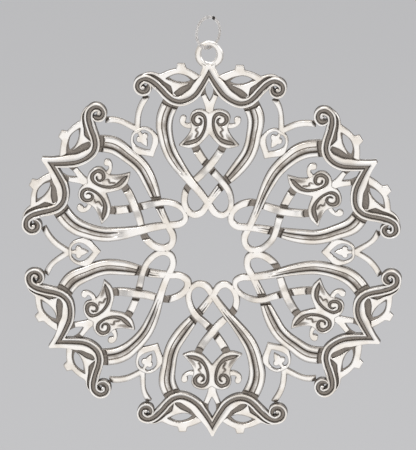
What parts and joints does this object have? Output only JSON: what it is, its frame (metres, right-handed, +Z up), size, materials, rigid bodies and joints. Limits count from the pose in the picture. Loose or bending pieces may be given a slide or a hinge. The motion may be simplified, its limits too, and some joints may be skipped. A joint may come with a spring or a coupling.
{
  "type": "hanging snowflake ornament",
  "caption": "Openwork cast metal snowflake of interlaced straps, scrolled brackets and palmettes, with an eye at the top that hangs and turns on a split ring.",
  "frame": {"origin": "inside top of the split ring, where the hook or ribbon that holds the ornament bears", "axes": "+Z up along the hanging ornament, +X to the right as the face is seen, -Y out of the relief face"},
  "size_m": [0.0888, 0.0058, 0.1009],
  "materials": {
    "ring_wire": "bright silver plate on round wire",
    "plated_casting": "polished silver plate on a cast base metal, dark patina left in the recesses"
  },
  "bodies": {
    "ring": {"split_ring": "ring_wire"},
    "ornament": {"snowflake_casting": "plated_casting"}
  },
  "joints": [
    {"name": "ornament_swing", "type": "hinge", "parent": "ring", "child": "ornament", "pos_m": [0, 0, -0.0032], "axis": [-0.7071, 0.7071, 0], "range_deg": [-135, 135]}
  ]
}
